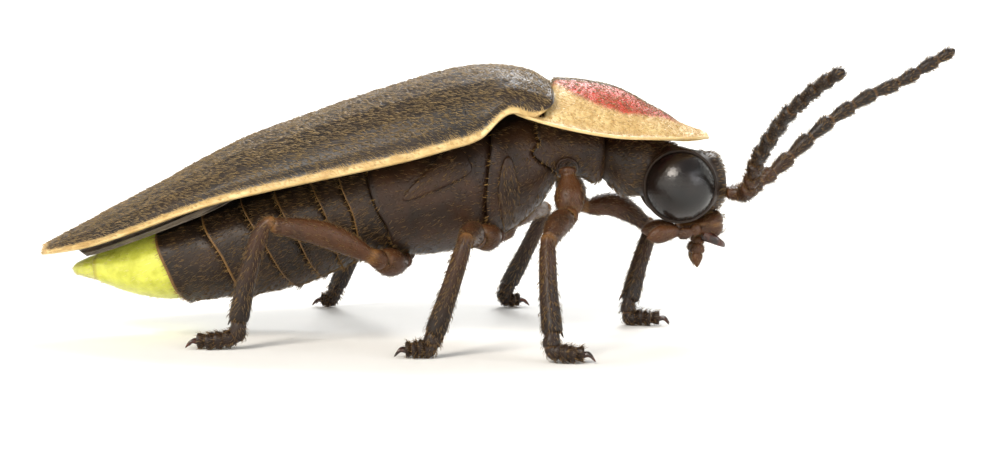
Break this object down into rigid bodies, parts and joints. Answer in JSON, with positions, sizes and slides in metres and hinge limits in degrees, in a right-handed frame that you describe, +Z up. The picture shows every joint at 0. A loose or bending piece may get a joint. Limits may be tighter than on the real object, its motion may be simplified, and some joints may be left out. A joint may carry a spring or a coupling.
{
  "type": "firefly",
  "caption": "Life-size firefly beetle standing with closed wing cases, shield over the head, long feelers and a pale glowing lantern under the tail.",
  "frame": {"origin": "on the floor under the middle of the whole animal, feelers included", "axes": "+X towards the head, +Z up, -Y towards the animal's right side"},
  "size_m": [0.0281, 0.0129, 0.0087],
  "materials": {
    "wing_case": "leathery dark brown cuticle with straw-coloured edges, satin",
    "shield": "straw-coloured cuticle, satin, with a rosy middle and a dark bar",
    "hindwing": "smoky folded membrane, faintly glossy",
    "body": "dark brown cuticle with fine down, satin",
    "lantern": "pale translucent cuticle, lit from within",
    "eye": "black, finely faceted and glossy",
    "limb": "brown cuticle with short hairs, satin"
  },
  "bodies": {
    "root": {"elytron_right": "wing_case", "elytron_left": "wing_case", "scutellum": "shield", "hindwing_right": "hindwing", "hindwing_left": "hindwing", "pronotum": "shield", "prothorax": "body", "mesothorax": "body", "metathorax": "body", "abdomen_1": "body", "abdomen_2": "body", "abdomen_3": "body", "abdomen_4": "body", "abdomen_5": "body", "abdomen_6": "body", "lantern_front": "lantern", "lantern_rear": "lantern", "head": "body", "eye_right": "eye", "eye_left": "eye", "clypeus": "limb", "antenna_right": "limb", "antenna_left": "limb", "maxillary_palp_right": "limb", "maxillary_palp_left": "limb", "labial_palp_right": "limb", "labial_palp_left": "limb", "front_right_coxa": "limb", "front_right_femur": "limb", "front_right_tibia": "limb", "front_right_tarsus": "limb", "mid_right_coxa": "limb", "mid_right_femur": "limb", "mid_right_tibia": "limb", "mid_right_tarsus": "limb", "hind_right_coxa": "limb", "hind_right_femur": "limb", "hind_right_tibia": "limb", "hind_right_tarsus": "limb", "front_left_coxa": "limb", "front_left_femur": "limb", "front_left_tibia": "limb", "front_left_tarsus": "limb", "mid_left_coxa": "limb", "mid_left_femur": "limb", "mid_left_tibia": "limb", "mid_left_tarsus": "limb", "hind_left_coxa": "limb", "hind_left_femur": "limb", "hind_left_tibia": "limb", "hind_left_tarsus": "limb"}
  },
  "joints": []
}
